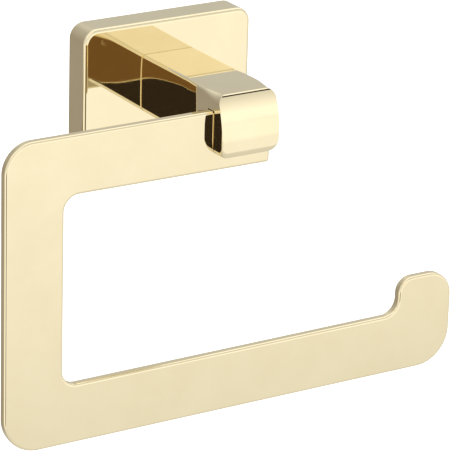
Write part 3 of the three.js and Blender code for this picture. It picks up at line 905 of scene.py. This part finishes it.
def rings(rows, closed=False):
    """A closed mesh over rows of points. A row of one point closes an end, and closed joins the last row
    to the first."""
    points = []
    starts = []
    for row in rows:
        starts.append(len(points))
        points += row
    faces = []
    count = max(len(row) for row in rows)
    pairs = list(zip(range(len(rows)), range(1, len(rows))))
    if closed:
        pairs.append((len(rows) - 1, 0))
    for a, b in pairs:
        for i in range(count):
            j = (i + 1) % count
            corners = []
            for row, step in ((a, i), (a, j), (b, j), (b, i)):
                corner = starts[row] + (0 if len(rows[row]) == 1 else step)
                if corner not in corners:
                    corners.append(corner)
            faces.append(corners)
    made = bpy.data.meshes.new("rings")
    made.from_pydata(points, [], faces)
    return made


def round_row(centre, along, radius, height):
    """One ring round an axis. The radius is a number or a function of the turn, from 0 to 1."""
    along = Vector(along)
    side = along.orthogonal().normalized()
    across = along.cross(side)
    if not callable(radius) and radius < 1e-7:
        return [Vector(centre) + along * height]
    row = []
    for i in range(AROUND):
        angle = 2 * math.pi * i / AROUND
        r = radius(i / AROUND) if callable(radius) else radius
        row.append(Vector(centre) + along * height + (side * math.cos(angle) + across * math.sin(angle)) * r)
    return row


def turned(profile, centre, along, closed=False):
    return rings([round_row(centre, along, radius, height) for radius, height in profile], closed)


def threaded(start, end, pitch, crest_at, depth):
    """Profile rows for a thread. crest_at gives the crest's radius at a height."""
    rows = []
    steps = math.ceil((end - start) / pitch * 8)
    for i in range(steps + 1):
        height = start + (end - start) * i / steps
        fade = smooth(i, 0, 6) * (1 - smooth(i, steps - 6, steps))

        def radius(turn, height=height, fade=fade):
            phase = (height / pitch + turn) % 1
            flank = min(abs(phase - 0.5) / 0.38, 1)
            return crest_at(height) - depth * (1 - (1 - flank) * fade)

        rows.append((radius, height))
    return rows


def finished(mesh, limit=32):
    mesh.polygons.foreach_set("use_smooth", [True] * len(mesh.polygons))
    mesh.set_sharp_from_angle(angle=math.radians(limit))
    return mesh


def tapered_cross(centre, width, length, depth, shrink):
    """A cross-shaped driver tip that points along +Y."""
    w, h = width / 2, length / 2
    plan = [
        (-w, -h), (w, -h), (w, -w), (h, -w), (h, w), (w, w),
        (w, h), (-w, h), (-w, w), (-h, w), (-h, -w), (-w, -w),
    ]
    rows = []
    for y, scale in ((-0.5 * MM, 1.0), (depth, shrink)):
        rows.append([Vector(centre) + Vector((x * scale, y, z * scale)) for x, z in plan])
    mesh = rings(rows)
    work = bmesh.new()
    work.from_mesh(mesh)
    bmesh.ops.holes_fill(work, edges=work.edges)
    bmesh.ops.recalc_face_normals(work, faces=work.faces)
    work.to_mesh(mesh)
    work.free()
    return mesh


def wall_screw(side):
    low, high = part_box("wall_screw_" + side)
    x = (low.x + high.x) / 2
    z = (low.z + high.z) / 2
    head = (high.x - low.x) / 2
    crown, end = low.y, high.y
    seat = -BRACKET_SHEET
    shank = WALL_CORE + 0.3 * MM
    start = seat + 1.2 * MM
    taper_start = end - WALL_POINT

    def thread_crest(height):
        full = WALL_CORE + WALL_THREAD_DEPTH
        return full - (full - WALL_THREAD_DEPTH) * max(0, height - taper_start) / (end - taper_start)

    turns = [math.radians(8 * i) for i in range(1, 12)]
    dome = [(head * math.sin(a), crown + (seat - crown) * 0.62 * (1 - math.cos(a))) for a in turns]
    profile = [(0, crown)] + dome
    profile += [(head, seat - 0.25 * MM), (head - 0.15 * MM, seat), (shank, seat), (shank, start)]
    profile += threaded(start + 0.2 * MM, end - 0.3 * MM, WALL_PITCH, thread_crest, WALL_THREAD_DEPTH)
    profile += [(0, end)]
    screw = turned(profile, (x, 0, z), Y)
    screw = boolean(screw, tapered_cross((x, crown, z), 0.95 * MM, 4.3 * MM, 1.7 * MM, 0.45))
    piece("wood_screw_" + side, finished(screw), ZINC, "wall_fixing", ["wall_screw_" + side])


def wall_plug(side):
    low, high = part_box("wall_plug_" + side)
    x = (low.x + high.x) / 2
    z = (low.z + high.z) / 2
    collar = (high.x - low.x) / 2
    start, end = low.y, high.y
    profile = [
        (PLUG_BORE, start + 0.3 * MM), (PLUG_BORE + 0.3 * MM, start), (collar - 0.2 * MM, start),
        (collar, start + 0.2 * MM), (collar, start + 0.7 * MM), (collar - 0.2 * MM, start + PLUG_COLLAR),
        (PLUG_BODY, start + PLUG_COLLAR), (PLUG_BODY, start + PLUG_TEETH_START),
    ]
    tooth = (end - start - PLUG_TEETH_SHORT) / PLUG_TEETH
    for i in range(PLUG_TEETH):
        at = start + PLUG_TEETH_START + tooth * i
        valley = PLUG_BODY - PLUG_TOOTH
        profile += [(valley, at + 0.12 * tooth), (valley, at + 0.3 * tooth), (PLUG_BODY, at + 0.92 * tooth)]
    profile += [
        (PLUG_BODY, end - PLUG_NOSE), (PLUG_BODY - 0.25 * MM, end - 0.6 * MM), (PLUG_BODY - 0.6 * MM, end),
        (PLUG_BORE + 0.1 * MM, end), (PLUG_BORE, end - 0.2 * MM),
    ]
    plug = turned(profile, (x, 0, z), Y, closed=True)
    wide = 6 * MM
    slit = PLUG_SLIT
    for tool in (
        box_cutter((x - wide, start + 7 * MM, z - slit), (x + wide, end - PLUG_NOSE, z + slit)),
        box_cutter((x - slit, start + 9 * MM, z - wide), (x + slit, end - 3.6 * MM, z + wide)),
    ):
        plug = boolean(plug, tool)
    piece("expanding_plug_" + side, finished(plug, 25), NYLON, "wall_fixing", ["wall_plug_" + side])


def wall_bracket():
    low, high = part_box("wall_bracket")
    sheet = BRACKET_SHEET
    channel = outline([
        [high.y, low.z, BRACKET_BEND], [low.y, low.z, 0.4 * MM], [low.y, low.z + sheet, 0.4 * MM],
        [high.y - sheet, low.z + sheet, 0.5 * MM], [high.y - sheet, high.z - sheet, 0.5 * MM],
        [low.y, high.z - sheet, 0.4 * MM], [low.y, high.z, 0.4 * MM], [high.y, high.z, BRACKET_BEND],
    ], math.radians(6))
    skin = slab(channel, low.x, high.x, BRACKET_EDGE, BRACKET_EDGE, (Y, Z, X))
    bracket = skin.mesh("bracket")
    reach = WALL_HOLE_SPACING / 2
    slot_low, slot_high = reach - BRACKET_SLOT_RUN, reach + BRACKET_SLOT_RUN
    for tool in (
        bore(BRACKET_HOLE, -reach, 0, -BEHIND, BEHIND),
        bore(BRACKET_HOLE, slot_low, 0, -BEHIND, BEHIND),
        bore(BRACKET_HOLE, slot_high, 0, -BEHIND, BEHIND),
        box_cutter((slot_low, -BEHIND, -BRACKET_HOLE), (slot_high, BEHIND, BRACKET_HOLE)),
    ):
        bracket = boolean(bracket, tool)
    piece("steel_bracket", carry_normals(bracket, skin), ZINC, "wall_fixing", ["wall_bracket"])


def tie_screw():
    low, high = TIE_LOW, TIE_HIGH
    head = (high.x - low.x) / 2
    seat = high.y - TIE_HEAD_HEIGHT
    thread_end = low.y + TIE_THREAD_LENGTH
    profile = [(0, low.y), (TIE_SHANK - 0.5 * MM, low.y)]
    profile += threaded(low.y + 0.4 * MM, thread_end, TIE_PITCH, lambda h: TIE_SHANK, TIE_THREAD_DEPTH)
    profile += [
        (TIE_SHANK, thread_end + 0.3 * MM), (TIE_SHANK, seat), (head - 0.15 * MM, seat),
        (head, seat + 0.15 * MM), (head, high.y - 0.45 * MM), (head - 0.13 * MM, high.y - 0.13 * MM),
        (head - 0.45 * MM, high.y), (0, high.y),
    ]
    screw = turned(profile, (tie_x, 0, tie_z), Y)
    key_start, key_end = (tie_x, high.y - TIE_KEY_DEPTH, tie_z), (tie_x, high.y + 1 * MM, tie_z)
    screw = boolean(screw, round_cutter(TIE_KEY / math.sqrt(3), key_start, key_end, 6))
    piece("socket_screw", finished(screw), ZINC, "holder", ["tie_screw"])


def washer(name, node, material, edge, gap=0):
    """A washer on the tie screw, cut open above where it has a gap."""
    low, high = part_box(node)
    outer = (high.x - low.x) / 2
    profile = [
        (tie_hole, low.y + edge), (tie_hole + edge, low.y), (outer - edge, low.y), (outer, low.y + edge),
        (outer, high.y - edge), (outer - edge, high.y), (tie_hole + edge, high.y), (tie_hole, high.y - edge),
    ]
    made = turned(profile, (tie_x, 0, tie_z), Y, closed=True)
    if gap:
        cut = box_cutter((tie_x - gap, low.y - MM, tie_z), (tie_x + gap, high.y + MM, tie_z + 8 * MM))
        made = boolean(made, cut)
    piece(name, finished(made), material, "holder", [node])


def locating_pin():
    start, end = PIN_LOW.y, PIN_HIGH.y
    narrow = pin_radius - PIN_EDGE
    pin = turned([
        (0, start), (narrow, start), (pin_radius, start + PIN_EDGE), (pin_radius, end - PIN_EDGE),
        (narrow, end), (0, end),
    ], (tie_x, 0, pin_z), Y)
    piece("dowel_pin", finished(pin), ZINC, "holder", ["locating_pin"])


def lock_screw():
    start, end = LOCK_LOW.z, LOCK_HIGH.z
    profile = [(0, start), (lock_radius - 0.35 * MM, start)]
    thread = (start + 0.15 * MM, end - 0.7 * MM)
    profile += threaded(*thread, LOCK_PITCH, lambda h: lock_radius, LOCK_THREAD_DEPTH)
    profile += [(lock_radius - 0.9 * MM, end), (0, end)]
    screw = turned(profile, (0, lock_y, 0), Z)
    key_start, key_end = (0, lock_y, start - MM), (0, lock_y, start + 2 * MM)
    screw = boolean(screw, round_cutter(LOCK_KEY / math.sqrt(3), key_start, key_end, 6))
    piece("grub_screw", finished(screw), DARK, "lock_screw", ["cover_lock_screw"])


for side in ("left", "right"):
    wall_screw(side)
    wall_plug(side)
wall_bracket()
tie_screw()
washer("flat_washer", "tie_screw_washer", ZINC, 0.12 * MM)
washer("spring_washer", "tie_screw_lock_washer", DARK, 0.15 * MM, SPRING_WASHER_GAP)
locating_pin()
lock_screw()

# ---- studio ----

world = bpy.data.worlds.new("studio")
bpy.context.scene.world = world
world.use_nodes = True
tree = world.node_tree
tree.nodes.clear()
place = tree.nodes.new("ShaderNodeTexCoord")
split = tree.nodes.new("ShaderNodeSeparateXYZ")
tree.links.new(place.outputs["Generated"], split.inputs[0])


def calc(operation, a, b=None, clamp=False):
    node = tree.nodes.new("ShaderNodeMath")
    node.operation = operation
    node.use_clamp = clamp
    for socket, value in zip(node.inputs, (a, b)):
        if value is None:
            continue
        if isinstance(value, (int, float)):
            socket.default_value = value
        else:
            tree.links.new(value, socket)
    return node.outputs[0]


def step_between(value, low, high):
    node = tree.nodes.new("ShaderNodeMapRange")
    node.interpolation_type = "SMOOTHSTEP"
    node.inputs["From Min"].default_value = low
    node.inputs["From Max"].default_value = high
    tree.links.new(value, node.inputs["Value"])
    return node.outputs["Result"]


dx, dy, dz = split.outputs
turn_round_x = calc("ADD", calc("DIVIDE", calc("ARCTAN2", dz, dy), 2 * math.pi), 0.5)


def tone_mix(amount, a, b):
    """Colour a where amount is 0 and colour b where it is 1."""
    node = tree.nodes.new("ShaderNodeMix")
    node.data_type = "RGBA"
    node.clamp_factor = True
    for socket, value in ((node.inputs[0], amount), (node.inputs[6], a), (node.inputs[7], b)):
        if isinstance(value, (int, float)):
            socket.default_value = value
        elif isinstance(value, tuple):
            socket.default_value = (*value, 1)
        else:
            tree.links.new(value, socket)
    return node.outputs[2]


def studio_band(stops):
    """Light round the X axis by angle in degrees: 0 is the wall's side, 90 is up and 180 is the room."""
    made = []
    for stop in stops:
        angle, level = stop[:2]
        tint = stop[2] if len(stop) > 2 else (1, 1, 1)
        made.append(((angle + 180) / 360, tuple(level * c / 2 for c in tint)))
    return ramp(tree, turn_round_x, made)


def cone(way, inner, outer):
    """1 within the inner angle of a direction, falling to 0 at the outer one, in degrees."""
    way = Vector(way).normalized()
    toward = calc("ADD", calc("ADD", calc("MULTIPLY", dx, way.x), calc("MULTIPLY", dy, way.y)),
                  calc("MULTIPLY", dz, way.z))
    return step_between(toward, math.cos(math.radians(outer)), math.cos(math.radians(inner)))


WARM = (1.0, 0.93, 0.86)
right_band = studio_band([
    (-180, 1.2), (-163, 1.2), (-157, 1.06), (-151, 0.85), (-135, 0.8), (-90, 0.75), (-40, 0.68), (0, 0.6),
    (24, 0.6), (38, 0.72), (54, 1.2), (98, 1.3), (105.7, 1.05), (106.5, 0.05), (110.5, 0.05), (111.3, 0.8),
    (150, 0.82), (157, 1.0), (168, 1.28), (176, 1.25), (180, 1.15),
])
left_band = studio_band([
    (-180, 1.0), (-120, 0.85), (-60, 0.55), (-32, 0.4, WARM), (-12, 0.36, WARM), (10, 0.42, WARM), (32, 0.5),
    (60, 0.85), (80, 1.1), (110, 1.1), (150, 0.9), (180, 1.0),
])
tone = tone_mix(step_between(dx, -0.3, 0.2), left_band, right_band)
pole = step_between(calc("ABSOLUTE", dx), 0.72, 0.96)
tone = tone_mix(pole, tone, (0.42, 0.42, 0.42))
DARK_ROOM = (0.017, 0.013, 0.011)
SIDE_LIGHT = (0.6, 0.58, 0.55)
EDGE_SHADE = (0.2, 0.19, 0.17)
for way, inner, outer, shade in (
    ((-0.86, -0.34, -0.37), 14, 22, SIDE_LIGHT), ((0.62, 0.7, -0.354), 9, 16, EDGE_SHADE),
    ((-0.43, -0.83, -0.355), 9.5, 12, DARK_ROOM),
):
    tone = tone_mix(cone(way, inner, outer), tone, shade)
path = tree.nodes.new("ShaderNodeLightPath")
tone = tone_mix(path.outputs["Is Camera Ray"], tone, (0.65, 0.65, 0.65))
background = tree.nodes.new("ShaderNodeBackground")
tree.links.new(tone, background.inputs["Color"])
background.inputs["Strength"].default_value = 2.0
output = tree.nodes.new("ShaderNodeOutputWorld")
tree.links.new(background.outputs[0], output.inputs["Surface"])


def glowing(name, base, rough, glow, strength):
    """A plain material for what is staged, which gives some light of its own."""
    material, _, shader, _ = fresh(name)
    shader.inputs["Base Color"].default_value = (*base, 1)
    shader.inputs["Roughness"].default_value = rough
    shader.inputs["Emission Color"].default_value = (*glow, 1)
    shader.inputs["Emission Strength"].default_value = strength
    return material


def staged(name, places, material):
    mesh = bpy.data.meshes.new(name)
    mesh.from_pydata(places, [], [tuple(range(len(places)))])
    mesh.materials.append(material)
    made = bpy.data.objects.new(name, mesh)
    bpy.context.scene.collection.objects.link(made)
    return made


FLOOR_DROP = 0.25
FLOOR_REACH = 6
floor_level = cad_low.z - FLOOR_DROP
FLOOR_CORNERS = ((-1, -1), (1, -1), (1, 1), (-1, 1))
floor = staged(
    "floor", [(x * FLOOR_REACH, y * FLOOR_REACH, floor_level) for x, y in FLOOR_CORNERS],
    glowing("floor", (0.9, 0.9, 0.9), 0.9, (1, 1, 1), 0.7),
)
floor.visible_glossy = False

# a small warm flag behind the wall's plane, which only reflections show
FLAG_PLACE = 0.005
FLAG_OUTLINE = (
    (-0.088, -0.042), (-0.038, -0.042), (-0.038, -0.0167),
    (-0.0505, -0.0167), (-0.0505, -0.006), (-0.088, -0.006),
)
flag = staged(
    "flag", [(x, FLAG_PLACE, z) for x, z in FLAG_OUTLINE],
    glowing("flag", (0.01, 0.01, 0.01), 1, (0.185, 0.113, 0.061), 1),
)
flag.visible_camera = False
flag.visible_diffuse = False
flag.visible_shadow = False

# ---- camera ----

CAMERA_LENS = 262.58
CAMERA_SENSOR = 36
CAMERA_PLACE = Vector((-470.448, -798.341, 303.016)) * MM
CAMERA_SIGHT = Vector((0.494715, 0.793480, -0.354466))
CAMERA_RIGHT = Vector((0.853610, -0.520221, 0.026826))

camera_data = bpy.data.cameras.new("camera")
camera = bpy.data.objects.new("camera", camera_data)
bpy.context.scene.collection.objects.link(camera)
bpy.context.scene.camera = camera
camera_data.lens = CAMERA_LENS
camera_data.sensor_width = CAMERA_SENSOR
camera_data.clip_start = 0.01
camera_data.clip_end = 50
sight = CAMERA_SIGHT.normalized()
above = CAMERA_RIGHT.normalized().cross(sight).normalized()
stance = Matrix((sight.cross(above), above, -sight)).transposed().to_4x4()
stance.translation = CAMERA_PLACE
camera.matrix_world = stance

bpy.context.scene.view_settings.view_transform = "Standard"
